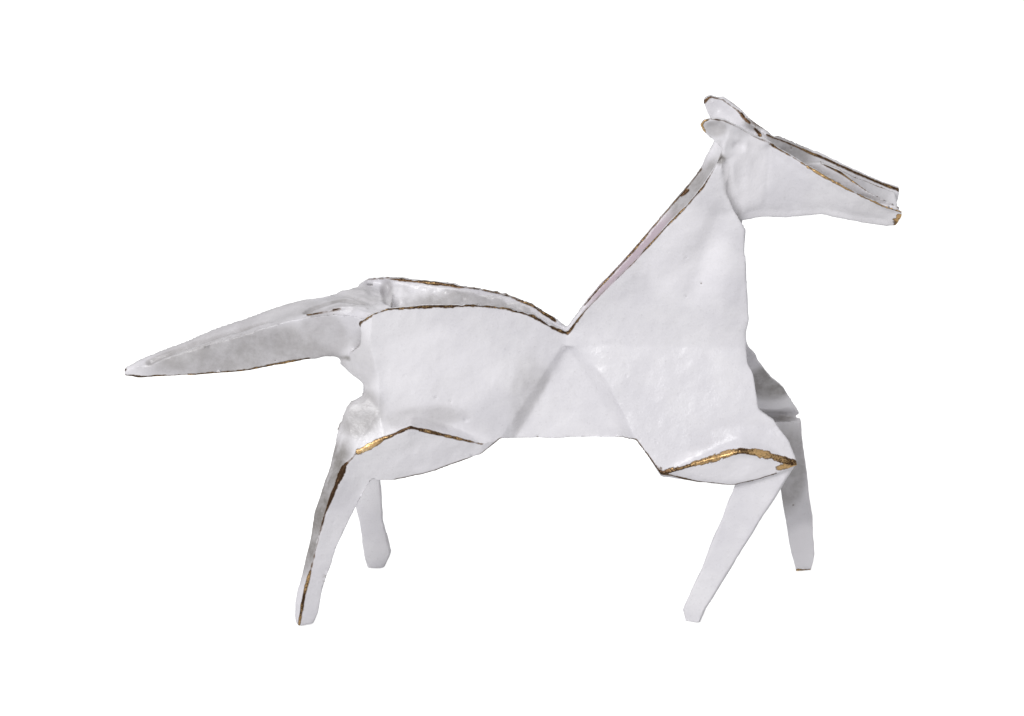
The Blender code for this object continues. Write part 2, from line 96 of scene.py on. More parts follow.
def changed_by(mesh, kind, **settings):
    """The mesh as one modifier of that kind leaves it, as a new mesh."""
    holder = bpy.data.objects.new("holder", mesh)
    bpy.context.scene.collection.objects.link(holder)
    change = holder.modifiers.new("Change", kind)
    for name, value in settings.items():
        setattr(change, name, value)
    graph = bpy.context.evaluated_depsgraph_get()
    made = bpy.data.meshes.new_from_object(holder.evaluated_get(graph))
    bpy.data.objects.remove(holder)
    return made


def read(items, name, width, kind=float):
    """One field of all items of a mesh, as an array of rows."""
    values = np.zeros(len(items) * width, kind)
    items.foreach_get(name, values)
    return values.reshape(-1, width)


solid = merged_copy(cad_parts["horse_casting"])
UNDER_SHELVES = [
    (-38.6, -15.6, 67.4), (-28.6, -13.6, 65.2), (-15.4, -11.1, 59.6), (-37.0, -19.8, 60.0),
    (-29.4, -20.0, 63.7), (-19.0, -16.4, 59.6), (44.6, -17.5, 47.7), (68.4, -14.2, 58.4),
    (76.0, -15.1, 56.8), (82.6, -15.3, 57.0), (57.0, -18.8, 52.4), (68.2, -19.6, 55.9),
    (77.0, -19.2, 54.2),
]
FAR_SHELF_END = [(77.6, 13.4, 57.2), (86.0, 13.6, 57.6)]
SHELF_DEPTH = 1.6
CORNER_WITHIN = 0.3
MIDDLE_Y = -0.8


def other_side(rows):
    """The same places on the far side of the middle plane, which stands 0.8 mm to the near side."""
    return [(x, 2 * MIDDLE_Y - y, z, *rest) for x, y, z, *rest in rows]


under = np.array(UNDER_SHELVES + FAR_SHELF_END + other_side(UNDER_SHELVES))
lowered = 0
for vertex in solid.vertices:
    if np.linalg.norm(under - np.array(vertex.co) / MM, axis=1).min() < CORNER_WITHIN:
        vertex.co.z -= SHELF_DEPTH * MM
        lowered += 1
print(lowered, "corners under the shelves lowered")
net = changed_by(solid, "REMESH", mode="VOXEL", voxel_size=GRID * MM, adaptivity=0.0)
points = read(net.vertices, "co", 3) / MM
edges = read(net.edges, "vertices", 2, int)
quads = read(net.loops, "vertex_index", 1, int).reshape(-1, 4)
print(len(points), "points,", 2 * len(quads), "triangles, quads only:", len(quads) == len(net.polygons))

# %% [markdown]
# ## Tools that work on all points at once


# %% Smoothing, normals and waves
def smoothed(where, steps, share=0.5):
    """Each step moves every point by `share` of the way to the mean of its neighbours:
    p becomes p + share * (mean of neighbours - p)."""
    count = np.bincount(edges.ravel(), minlength=len(where)).reshape(-1, 1)
    for _ in range(steps):
        total = np.zeros_like(where)
        for axis in range(where.shape[1]):
            total[:, axis] = np.bincount(edges[:, 0], where[edges[:, 1], axis], len(where))
            total[:, axis] += np.bincount(edges[:, 1], where[edges[:, 0], axis], len(where))
        where = where + share * (total / count - where)
    return where


def relaxed(where, steps, there=0.5, back=0.53):
    """Smoothing without shrinking: each step smooths by `there`, then goes back by `back`."""
    for _ in range(steps):
        where = smoothed(where, 1, there)
        where = smoothed(where, 1, -back)
    return where


def normals_of(where):
    """Outward normals: the sum over the quads round a point of (diagonal x diagonal)."""
    a, b, c, d = (where[quads[:, i]] for i in range(4))
    face = np.cross(c - a, d - b)
    total = np.zeros_like(where)
    for axis in range(3):
        for corner in range(4):
            total[:, axis] += np.bincount(quads[:, corner], face[:, axis], len(where))
    return total / np.maximum(np.linalg.norm(total, axis=1, keepdims=True), 1e-9)


def waves(where, size, seed, count=28):
    """Soft random bumps about `size` mm across: the sum of sines of (direction . p * 2 pi / size
    + phase) over random directions, divided by sqrt(count / 2)."""
    draw = np.random.default_rng(seed)
    ways = draw.normal(size=(count, 3))
    ways *= (2 * np.pi / size) / np.linalg.norm(ways, axis=1, keepdims=True)
    ways *= draw.uniform(0.7, 1.4, (count, 1))
    phases = draw.uniform(0, 2 * np.pi, count)
    total = np.zeros(len(where))
    for way, phase in zip(ways, phases):
        total += np.sin(where @ way + phase)
    return total / np.sqrt(count / 2)


def step_up(value, start, end):
    """0 below start and 1 above end, with t * t * (3 - 2 t) between."""
    t = np.clip((value - start) / (end - start), 0, 1)
    return t * t * (3 - 2 * t)


def tree_of(places):
    """A finder of the nearest of these places."""
    tree = KDTree(len(places))
    for index, place in enumerate(places):
        tree.insert(place, index)
    tree.balance()
    return tree


def along(rows, spacing=0.2):
    """Rows between the given rows, `spacing` mm apart, with every value running evenly."""
    rows = np.array(rows, float)
    parts = []
    for a, b in zip(rows, rows[1:]):
        steps = max(2, int(np.linalg.norm((b - a)[:3]) / spacing) + 1)
        parts.append(a + (b - a) * np.linspace(0, 1, steps).reshape(-1, 1))
    return np.concatenate(parts)


def gap_to(where, line, reach):
    """How far each point is from a line, in mm, and a large number beyond `reach`."""
    samples = along([row[:3] for row in line], 0.4)
    low = samples.min(axis=0) - reach
    high = samples.max(axis=0) + reach
    near = np.flatnonzero(np.all((where > low) & (where < high), axis=1))
    gaps = np.full(len(where), 1e3)
    best = np.full(len(near), 1e3)
    for sample in samples:
        best = np.minimum(best, np.linalg.norm(where[near] - sample, axis=1))
    gaps[near] = best
    return gaps


print("neighbours of a point, on average:", round(2 * len(edges) / len(points), 2))

# %% [markdown]
# ## Drawn back onto the facets, then softened
#
# Every point goes to the nearest place on the solid. In a thin wall the nearest place can lie on
# its other face, so a facet that looks the wrong way is passed over. A ridge then looks chipped
# where the net crosses it at a slant, so the points nearest to a ridge are moved onto it.

# %% Onto the facets and ridges
WRONG_WAY = -0.2
RIGHT_WAY = 0.1
WALL_REACH = 1.2
RIDGE_TURN = 30
RIDGE_SPACING = 0.25
RIDGE_REACH = 0.4
facets = BVHTree.FromPolygons(
    [v.co / MM for v in solid.vertices], [list(p.vertices) for p in solid.polygons]
)
outwards = normals_of(points)
drawn = points.copy()
passed_over = 0
for index, place in enumerate(points):
    spot, normal, _, _ = facets.find_nearest(Vector(place))
    if normal.dot(Vector(outwards[index])) < WRONG_WAY:
        passed_over += 1
        fitting = [
            (away, found)
            for found, facing, _, away in facets.find_nearest_range(Vector(place), WALL_REACH)
            if facing.dot(Vector(outwards[index])) > RIGHT_WAY
        ]
        spot = min(fitting, key=lambda pair: pair[0])[1] if fitting else place
    drawn[index] = spot
print(passed_over, "points kept off the wrong side of a thin wall")


def ridge_points(mesh, least_turn, spacing):
    """Points along every edge of the mesh where the surface turns outwards by least_turn or more,
    in degrees."""
    work = bmesh.new()
    work.from_mesh(mesh)
    work.normal_update()
    found = []
    for edge in work.edges:
        if len(edge.link_faces) != 2 or not edge.is_convex:
            continue
        if np.degrees(edge.calc_face_angle(0.0)) < least_turn:
            continue
        found.append(along([np.array(v.co) / MM for v in edge.verts], spacing))
    work.free()
    return np.concatenate(found)


ridges = ridge_points(solid, RIDGE_TURN, RIDGE_SPACING)
finder = tree_of(drawn)
for place in ridges:
    _, index, away = finder.find(place)
    if away < RIDGE_REACH:
        drawn[index] = place
print(len(ridges), "points on sharp ridges")

# %% Softened ridges and pooled enamel
FIRST_SHARE = 0.4
SOFT_STEPS = 3
WIDE_STEPS = 24
POOL_SHARE = 0.8
RUB_SHARE = 0.06
DEEPEST = 1.0
soft = relaxed(smoothed(drawn, 1, FIRST_SHARE), SOFT_STEPS)
wide = smoothed(soft, WIDE_STEPS)
outwards = normals_of(soft)
hollow = np.einsum("ij,ij->i", wide - soft, outwards)
pooled = np.clip(hollow, 0, DEEPEST)
rubbed = np.clip(-hollow, 0, DEEPEST)
shape = soft + outwards * (POOL_SHARE * pooled - RUB_SHARE * rubbed).reshape(-1, 1)
print("deepest pool of enamel, mm:", round(float(pooled.max()), 2))

# %% [markdown]
# ## Places that the enamel rounds off
#
# Some places are much rounder in the real piece than the folded solid has them: the cheek, the rear
# under the tail, the tip of the tail and the long slit beside the tail's lip. They are smoothed
# further, within a given distance of a line.

# %% Rounded places
ROUNDED = {
    "rear": (7.0, 60, [(-52, -4, 78), (-47, -9, 76), (-42.5, -13, 73)]),
    "rear_strip": (3.5, 30, [(-43, -14, 88), (-41, -16, 78), (-43, -13, 71)]),
    "hock": (4.0, 40, [(-44, -14, 69), (-50, -16, 65)]),
    "tail_tip": (3.2, 14, [(-115, -1.5, 73.4), (-113, -2, 74)]),
    "tail_slit": (3.2, 60, [(-108, -2.6, 76.5), (-100.3, -3.4, 79.3), (-92, -3, 82.4),
                            (-84.4, -3.2, 85.1), (-77, -3.6, 87.5), (-70, -3.8, 90)]),
    "near_hind_toe": (4.5, 30, [(-64, -20, 0), (-57, -20, 0)]),
    "far_hind_toe": (4.5, 30, [(-44, 21, 0), (-37, 21, 0)]),
    "nose": (2.4, 8, [(115, -10, 125), (112, -7, 121)]),
    "shoulder_crease": (9.0, 120, [(26, -5.2, 83), (70, -6.8, 83)]),
    "tongue_root": (1.5, 10, [(101, 5, 131), (107, 6.6, 129), (112, 7.6, 127.4)]),
    "far_bridge_edge": (1.5, 3, [(80, 5.4, 143.5), (93, 8, 137), (115, 9.4, 127)]),
    "near_bridge_edge": (1.6, 4, [(80, -6.6, 143.5), (93, -9, 136), (115, -10.4, 126.6)]),
}
ROUNDED_TWICE = ("rear", "rear_strip", "hock", "shoulder_crease")
FULL_SHARE = 0.45


def rounded(where, radius, steps, line):
    """Smoothing that is full within FULL_SHARE of the radius and has faded out at the radius."""
    share = 1 - step_up(gap_to(where, line, radius), FULL_SHARE * radius, radius)
    calm = smoothed(where, steps)
    return where + (calm - where) * share.reshape(-1, 1)


for name, (radius, steps, line) in ROUNDED.items():
    shape = rounded(shape, radius, steps, line)
    if name in ROUNDED_TWICE:
        shape = rounded(shape, radius, steps, other_side(line))

HEAD_STARTS = (66, 71)
JAW_STARTS = (116, 121)
EDGE_KEPT = (0.8, 3.0)
CHEEK_STEPS = 160
ridge_finder = tree_of(ridges)
edge_gap = np.array([ridge_finder.find(p)[2] for p in shape])
head = step_up(shape[:, 0], *HEAD_STARTS) * step_up(shape[:, 2], *JAW_STARTS)
head = head * step_up(edge_gap, *EDGE_KEPT)
cheek = smoothed(shape, CHEEK_STEPS)
shape = shape + (cheek - shape) * head.reshape(-1, 1)
print(len(ROUNDED), "rounded places and the cheek")

# %% [markdown]
# ## Dents, creases and beads
#
# Each one follows a short line: how far it stands out in mm (below 0 is a dent), how wide it is, and
# the places it runs through. The height falls off as exp(-(gap / width)^2).

# %% Relief lines
RELIEF = {
    "neck_dent": (-1.15, 3.4, [(61.5, -8.4, 124), (58, -7, 113), (53.5, -6, 100)]),
    "neck_swell": (0.7, 4.0, [(67, -7, 118), (65, -6.6, 106), (63, -6.4, 94)]),
    "neck_swell_rear": (0.4, 4.0, [(50, -8, 118), (46, -7, 108)]),
    "neck_edge_band": (0.45, 1.3, [(64.4, -11, 141), (66, -9, 133), (69, -6, 125)]),
    "neck_edge_gutter": (-0.5, 0.9, [(62.4, -11.6, 141), (63.6, -9.4, 132.3), (67, -6, 123.5)]),
    "ear_dent": (-0.7, 1.6, [(58, -12.6, 152.6), (61.5, -12.5, 151.4)]),
    "far_ear_dent": (-0.6, 1.5, [(60, 10.4, 152.4), (65, 9, 149.6)]),
    "ear_crease": (-0.35, 0.6, [(62.4, -12.5, 150.3), (60.8, -12.2, 146)]),
    "cheek_dimple": (-0.45, 1.1, [(65.4, -10.6, 146.8), (67.2, -10, 145.8)]),
    "cheek_bead": (0.4, 1.0, [(66, -10.4, 148.6), (68.6, -9.4, 147)]),
    "cracked_pit": (-1.0, 0.7, [(60.1, -11.8, 143.6), (61, -11.8, 142.6)]),
    "pinch_bead": (0.7, 1.2, [(73.6, -5.4, 146.6), (76, -5.4, 145.6)]),
    "shoulder_crease": (-0.16, 1.4, [(24, -5.2, 83), (48, -6, 83), (70, -6.8, 83)]),
    "knee_fold": (0.35, 1.3, [(65.6, -16.4, 58.4), (76.6, -17.1, 57.4), (80, -17.6, 55.4),
                              (85, -17.6, 51.4)]),
    "knee_hollow": (-0.3, 1.6, [(60, -14, 60), (70, -14.6, 61.6), (78, -15, 60.4)]),
    "ring_pit": (-0.5, 0.5, [(-13.2, -12.3, 62.2), (-12.8, -12.3, 62.2)]),
    "hip_dent": (-0.4, 3.0, [(-37, -16.6, 71), (-37.6, -16.4, 79)]),
    "flank_dent": (-0.35, 6.0, [(-14, -11, 84), (0, -8.4, 80)]),
    "flank_swell": (0.3, 5.0, [(-28, -14, 84), (-24, -14, 74)]),
    "hip_crease": (0.35, 0.8, [(-39.4, -18, 66), (-43.4, -19, 60), (-46, -20, 55)]),
    "shank_groove": (-0.35, 0.7, [(-48, -17.6, 62), (-52, -19, 52), (-55.6, -20, 38), (-60, -21, 20)]),
    "shank_bead": (0.25, 0.6, [(-49, -18.4, 60), (-52.6, -19.8, 50), (-57, -20.8, 34)]),
    "tail_slit": (-1.0, 1.1, [(-107, -2, 76.8), (-101.2, -0.9, 79.3), (-93.7, -0.4, 82.2),
                              (-86.2, -0.6, 84.9), (-78.7, -1, 87.1), (-73, -2.2, 89.2)]),
    "tail_lip": (0.6, 0.8, [(-107, -3, 76.4), (-100.3, -4, 79.3), (-92, -3.9, 82.5),
                            (-84.4, -4.4, 85.2), (-77, -4.8, 87.6), (-71, -4.8, 89.8)]),
    "root_pocket": (-0.9, 1.2, [(-59, -3.6, 93.3), (-52, -3.6, 95), (-46, -4.4, 95.7)]),
    "root_rod": (0.7, 0.6, [(-52, -5.4, 94.6), (-46.5, -6.2, 95.4), (-42.5, -7.2, 95.6)]),
    "root_crease": (-0.9, 0.7, [(-60.3, -3.5, 93), (-58.6, -1.5, 93.5), (-55.1, -0.8, 94.5),
                                (-50.3, -0.4, 95.6), (-45.5, -2.5, 96.1), (-41.4, -3.3, 95.7)]),
    "root_upper_crease": (-0.7, 0.8, [(-48.7, 3.6, 95.8), (-45, -0.4, 96.3), (-41.4, -1.9, 95.9)]),
    "root_ridge": (0.6, 1.4, [(-50, 7.5, 95.6), (-47, 6.4, 96.1), (-43, 4, 96.3)]),
    "trough_pinch": (-1.3, 1.1, [(-36.9, 9.6, 96.5), (-36.9, 6.3, 95.8), (-36.3, 0.3, 95.4),
                                 (-34.9, -2, 95.1)]),
    "trough_start": (1.1, 1.9, [(-32.6, 8.4, 95.6), (-32, 4, 94), (-31.6, 0, 94)]),
    "tail_crown": (0.65, 2.6, [(-110, 0.8, 76.6), (-100, 1.8, 81), (-90, 2.8, 85), (-76, 3.4, 89.4),
                               (-62, 4, 93)]),
    "far_bridge_edge": (0.9, 1.3, [(79, 5.4, 144), (93, 8.2, 137), (104, 9.2, 131.6), (115, 9.4, 127)]),
    "far_ear_edge": (0.8, 1.3, [(63, 10.6, 154.6), (66, 10, 152), (70, 6.4, 149), (75, 4, 146)]),
}
RAISED_TWICE = ("neck_dent", "neck_edge_band", "neck_edge_gutter", "hip_crease", "knee_fold",
                "shank_groove")
RELIEF_REACH = 2.2
AGREES = (0.0, 0.4)


def raised(where, height, width, line):
    """Points moved along their normals by height * exp(-(gap / width)^2), on the one side of the
    wall that the line lies on: where the normal agrees with the one at the middle of the line."""
    gaps = gap_to(where, line, RELIEF_REACH * width)
    facing = normals_of(where)
    places = along(line)
    middle = places[len(places) // 2]
    outside = facing[np.argmin(np.linalg.norm(where - middle, axis=1))]
    lift = height * np.exp(-((gaps / width) ** 2)) * step_up(facing @ outside, *AGREES)
    return where + facing * lift.reshape(-1, 1)


for name, (height, width, line) in RELIEF.items():
    shape = raised(shape, height, width, line)
    if name in RAISED_TWICE:
        shape = raised(shape, height, width, other_side(line))
shape = relaxed(shape, 1)
print(len(RELIEF), "relief lines")

# %% [markdown]
# ## The hand in the surface
#
# Brushed and fired enamel is never flat: the panels wave slowly, and the gloss breaks on a skin
# like orange peel. The inside of the trough along the rump is the roughest.

# %% Waves and orange peel
SLOW_WAVES = [(34, 3, 0.15), (12, 5, 0.08)]
PEEL = [(4.2, 7, 0.03), (2.3, 11, 0.016)]
ROUGH_PEEL = [(5.0, 19, 0.2), (2.4, 23, 0.09)]
TROUGH = [(-34, 0, 96), (-10, 0, 95), (8, -1, 91)]
TROUGH_FADES = (6, 12)
LOOKS_UP = (0.3, 0.7)
INSET = 0.12


def layers(rows):
    """The sum of height * waves(size, seed) over rows of size, seed and height, in mm."""
    return sum(waves(shape, size, seed) * height for size, seed, height in rows)


outwards = normals_of(shape)
roughness = 1 - step_up(gap_to(shape, TROUGH, TROUGH_FADES[1]), *TROUGH_FADES)
roughness = roughness * step_up(outwards[:, 2], *LOOKS_UP)
bumps = layers(SLOW_WAVES) + (layers(PEEL) + roughness * layers(ROUGH_PEEL))
print("waves and peel, mm:", round(float(bumps.min()), 2), "to", round(float(bumps.max()), 2))
shape = shape + outwards * (bumps - INSET).reshape(-1, 1)
shape = np.clip(shape, LOW, HIGH)
net.vertices.foreach_set("co", (shape * MM).ravel())
net.update()

# %% A lighter net with the same form
MOST_TRIANGLES = 192000
share = MOST_TRIANGLES / (2 * len(quads))
skin = changed_by(net, "DECIMATE", decimate_type="COLLAPSE", ratio=share)
skin.validate()
skin.name = "horse"
skin_points = read(skin.vertices, "co", 3) / MM
skin_normals = read(skin.vertices, "normal", 3)
print(len(skin_points), "points,", sum(len(p.vertices) - 2 for p in skin.polygons), "triangles")
horse = bpy.data.objects.new("horse", skin)
bpy.context.scene.collection.objects.link(horse)
skin.polygons.foreach_set("use_smooth", np.ones(len(skin.polygons), bool))

# %% [markdown]
# ## Where the brass shows
#
# The enamel is rubbed through along the fold ridges. Each worn line is given by a few places on the
# solid: how far along, across and up it lies in mm, half its width in mm, and how bright its brass
# is, from 0 for brown to 1 for gold. Below 0 it stays dark.

# %% Worn ridges
BODY_LINES = {
    "mane": [(17, -3, 86, 0.35, 0.2), (22, -5, 94, 0.2, 0.2), (27, -5, 99, 0.2, 0.2),
             (36, -7, 110, 0.2, 0.3), (46, -8, 122, 0.25, 0.4), (51, -9, 128, 0.15, 0.3),
             (56, -10, 134, 0.15, 0.2), (60, -11, 141, 0.1, 0.1)],
    "thigh": [(-45, -21, 55, 0.75, 1), (-41, -21, 57.4, 0.7, 1), (-37, -22, 60, 0.4, 0.3),
              (-29, -22, 64, 0.45, 0.0), (-19, -18, 60, 0.35, 0.4), (-8, -13, 55, 0.3, 0.6)],
    # The dark stretch high on the shank, below 0, is painted shade in the valley.
    "shank": [(-45, -21, 55, 0.25, 0), (-48.4, -21, 52, 0.35, -0.3), (-49.8, -21, 49, 0.8, -0.7),
              (-51.2, -21.6, 46, 0.75, -0.7), (-52.6, -22, 43, 0.4, -0.4), (-55, -22, 36, 0.25, 0),
              (-58, -23, 25, 0.2, 0.1), (-61, -23, 12, 0.4, 0.7), (-62, -24, 10, 0.3, 0),
              (-63, -24, 0, 0.35, 0.7)],
    "knee": [(45, -20, 48, 0.6, 0), (51, -20, 50, 0.9, 0.4), (57, -21, 52, 1.05, 0.6),
             (64, -21, 55, 1.15, 0.8), (68, -22, 56, 0.9, 0.2), (73, -21, 55, 1.1, 0.8),
             (77, -21, 54, 1.0, 0.5), (82, -20, 52, 0.85, 0.1), (85, -20, 51, 0.8, 0.1)],
    "knee_patch": [(79, -19, 49.5, 0.5, 0.8), (84, -19.5, 50.5, 1.3, 0.8)],
    "thigh_edge": [(-34, -17, 45, 0.2, 0.1), (-25, -16, 47, 0.15, 0.1), (-9, -12, 51, 0.2, 0.1),
                   (-3, -11, 55, 0.2, 0.1), (33, -10, 55, 0.2, 0.2), (37, -16, 57, 0.15, 0.1),
                   (45, -20, 48, 0.4, 0.3)],
    "knee_edge": [(45, -20, 48, 0.45, 0.4), (55, -17, 44, 0.2, 0.1), (66, -17, 43, 0.2, 0.1),
                  (79, -18, 47, 0.2, 0.1)],
    "tail_edge": [(-114, -2.3, 73, 0.6, 0), (-108, -3, 72, 0.45, 0.2), (-98, -4, 73, 0.45, 0.3),
                  (-80, -5, 74, 0.4, 0.3), (-66, -6, 78, 0.45, 0.4), (-60, -6, 79, 0.4, 0.3)],
    "tail_tip": [(-114.6, -1.6, 74.4, 0.6, -0.1), (-114.8, -2, 73.2, 0.6, 0)],
}
NEAR_LINES = {
    "rump": [(-45, -13, 92, 0.3, 0.2), (-44, -14, 94, 0.4, 0.4), (-40, -15, 97, 0.5, 0.5),
             (-36, -14, 98, 0.55, 0.3), (-23, -11, 98, 0.55, 0.15), (-9, -8, 97, 0.5, 0.15),
             (-1, -7, 95, 0.5, 0.2), (6, -5, 93, 0.5, 0.1), (13, -4, 88, 0.45, 0.1),
             (17, -3, 86, 0.4, 0.2)],
    "near_ear": [(55.6, -13, 151.6, 0.8, 0.9), (54.7, -13, 153.4, 1.1, 0.9),
                 (56, -14, 155, 0.8, 0.7), (58, -14, 156, 0.3, 0.2), (62, -13, 155, 0.05, 0),
                 (66, -11, 152, -0.1, 0), (70, -8, 149, -0.1, 0), (75, -6, 146, 0.1, 0.2)],
    "near_bridge": [(75, -6, 146, 0.2, 0.2), (82, -7, 142.5, 0.22, 0.4), (87, -9, 139.4, 0.3, 0.7),
                    (93, -10, 136, 0.4, 0.8), (101, -11, 132, 0.65, 0.8), (109, -11, 128, 0.8, 0.7),
                    (114.6, -11, 126.6, 0.8, 0.5)],
    "near_bridge_inside": [(75, -4, 146, 0.15, 0.2), (82, -5.4, 142.5, 0.2, 0.3),
                           (93, -8, 136, 0.3, 0.5), (101, -8.7, 132, 0.35, 0.5),
                           (114, -9, 127, 0.4, 0.3)],
    "nose": [(114.5, -10.4, 124.5, 1.2, 0.7), (113, -8, 121, 1.2, 0.6)],
    "nose_patch": [(113.4, -10.6, 125, 1.7, 0.7), (112.2, -9, 121.8, 1.5, 0.6)],
    "near_tongue": [(91, -2, 138.6, 0.1, 0.2), (97, -2.3, 135.8, 0.25, 0.2),
                    (100, -3.5, 133.6, 0.3, 0.4), (105, -6.5, 131, 0.25, 0.3),
                    (110, -8, 129, 0.2, 0.2), (114, -8.6, 127, 0.2, 0.2)],
    "fore_spots": [(66.9, -18, 22, 0.4, 0.5), (66.5, -18, 21.6, 0.4, 0.5)],
    "fore_spot_low": [(63.6, -18, 16.7, 0.4, 0.4), (63.4, -18, 16.4, 0.4, 0.4)],
    "root_line": [(-60.4, -4.8, 93, 0.35, 0.3), (-54.3, -5.7, 93.9, 0.35, 0.4),
                  (-50, -6, 94.8, 0.05, 0)],
    "knee_dots": [(44.6, -19, 49.4, 0.4, 0), (44.2, -19, 48.2, 0.4, 0)],
    "pit_mark": [(60.2, -11.8, 143.4, 0.35, 0), (60.9, -11.8, 142.8, 0.35, 0)],
    "brow_pit": [(65.8, -10.7, 151.5, 0.3, -0.2), (66.8, -10.4, 150.8, 0.3, -0.2)],
}
FAR_LINES = {
    "rump": [(-45, 12, 97, 0.3, 0.2), (-43, 14, 98, 0.35, 0.2), (-37, 13, 99, 0.35, 0.2),
             (-23, 10, 98, 0.4, 0.2), (-9, 7, 98, 0.5, 0.3), (-1, 5, 96, 0.45, 0.2),
             (7, 3.5, 93.5, 0.45, 0.2), (13, 2.4, 89, 0.4, 0.1), (17, 2, 86, 0.4, 0.2)],
    "rump_inside": [(-43, 12, 98, 0.25, 0.2), (-37.4, 10.9, 98.8, 0.3, 0.1),
                    (-23, 7.7, 98.2, 0.35, 0.2), (-9.4, 4.7, 97.6, 0.5, 0.2),
                    (-0.6, 2.9, 96, 0.45, 0.2), (6.8, 1.5, 93.5, 0.45, 0.2),
                    (13, 0.8, 89, 0.4, 0.1)],
    "mane_inside": [(22, 1, 94, 0.25, 0.2), (27, 1.7, 99, 0.2, 0.3), (36, 3.2, 110, 0.25, 0.4),
                    (46, 4.9, 122, 0.25, 0.5), (51, 5.8, 127.5, 0.2, 0.2),
                    (56, 6.7, 134, 0.15, 0.2)],
    "mane_break": [(49, 5.2, 125.6, 0.5, -0.2), (52.4, 6, 129, 0.45, -0.2)],
    "far_ear_inside": [(57, 9.4, 153.6, 0.3, 0.1), (59, 9.6, 155.4, 0.2, 0),
                       (62.4, 9, 154.6, 0.05, 0), (66.4, 7.6, 152, 0.05, 0),
                       (68.5, 6, 150.4, 0.2, 0)],
    "far_bridge_inside": [(75, 2, 146, 0.25, 0.2), (82, 4, 142.9, 0.2, 0.2),
                          (93, 7, 136.9, 0.2, 0.3), (101.4, 7.8, 132.8, 0.25, 0.3),
                          (109.4, 8.3, 129.2, 0.25, 0.3), (115, 8.4, 127, 0.25, 0.2)],
    "far_ear": [(56.8, 11.4, 153.6, 0.35, 0.1), (59, 12, 155.5, 0.3, 0), (62, 11, 155, 0.25, 0.1),
                (66, 10, 152, 0.4, 0.1), (70, 6, 149, 0.4, 0.2), (75, 4, 146, 0.4, 0.3)],
    "far_ear_front": [(67.8, 6.8, 151, 0.25, 0), (68.6, 5.6, 150, 0.4, 0),
                      (68.9, 5.2, 148.9, 0.35, 0)],
    "brow_edge": [(69.5, 7, 149.6, 0.3, 0), (71.2, 5.4, 148.4, 0.3, 0.1),
                  (73.4, 3.2, 147, 0.3, 0.1)],
    "far_bridge": [(75, 4, 146, 0.25, 0.2), (82, 6, 143, 0.2, 0.2), (93, 9, 137, 0.2, 0.2),
                   (101, 10, 133, 0.2, 0.3), (109, 10, 129, 0.2, 0.3), (115, 10, 127, 0.25, 0.3)],
    "far_tongue": [(91, 0.4, 138.6, 0.3, 0.3), (97, 0.7, 135.8, 0.35, 0.3),
                   (100, 2, 133.6, 0.35, 0.3), (105, 5, 131, 0.4, 0.4), (110, 6.3, 129, 0.45, 0.5),
                   (114, 7, 127, 0.4, 0.4)],
    "far_sole": [(88, 19, 0, 0.6, 0.9), (93.3, 20, 0, 0.6, 0.9)],
}
CORNER_REACH = 1.6
corner_finder = tree_of(read(solid.vertices, "co", 3) / MM)


def snapped(row):
    """The row with its place moved to the solid's own corner, where one is near."""
    corner, _, away = corner_finder.find(row[:3])
    return (*corner, *row[3:]) if away < CORNER_REACH else row


lines = [*BODY_LINES.values(), *NEAR_LINES.values(), *FAR_LINES.values()]
lines += [other_side(line) for line in BODY_LINES.values()]
samples = np.concatenate([along([snapped(row) for row in line]) for line in lines])
sample_finder = tree_of(samples[:, :3])
nearest = [sample_finder.find(p)[1:] for p in skin_points]
index, gap = (np.array(column) for column in zip(*nearest))


def store(name, values):
    """Keeps one value for each point, for the materials to read."""
    kept = skin.attributes.new(name, "FLOAT", "POINT")
    kept.data.foreach_set("value", np.asarray(values, np.float32))


ENAMEL_DEPTH = 0.22
FARTHEST_GAP = 9
store("worn_gap", np.clip(gap - ENAMEL_DEPTH, 0, FARTHEST_GAP))
store("worn_half", samples[index, 3])
store("worn_gold", samples[index, 4])
print(len(samples), "places on", len(lines), "worn lines")

# %% [markdown]
# ## Deep places
#
# Painted shade, grime and grey glaze darken the places that a finger or a cloth can't reach. How
# open each point is, is found by looking out from it in a few directions and counting how many are
# free.

# %% How open each point is
LOOKS = 14
LOOK_SEED = 2
LOOK_REACH = 14.0
CLEAR_OF_SKIN = 0.15
LEAN_OUT = 1.15
skin_tree = BVHTree.FromPolygons(
    [Vector(p) for p in skin_points], [list(p.vertices) for p in skin.polygons]
)
looks = np.random.default_rng(LOOK_SEED).normal(size=(LOOKS, 3))
looks /= np.linalg.norm(looks, axis=1, keepdims=True)


def is_free(start, way):
    """Whether nothing stands within reach of the start in that direction."""
    return skin_tree.ray_cast(start, Vector(way), LOOK_REACH)[0] is None


open_share = np.zeros(len(skin_points))
for number, (place, normal) in enumerate(zip(skin_points, skin_normals)):
    start = Vector(place + CLEAR_OF_SKIN * normal)
    open_share[number] = sum(is_free(start, way) for way in looks + LEAN_OUT * normal) / LOOKS
store("open_share", open_share)
print("mean openness:", round(float(open_share.mean()), 2))
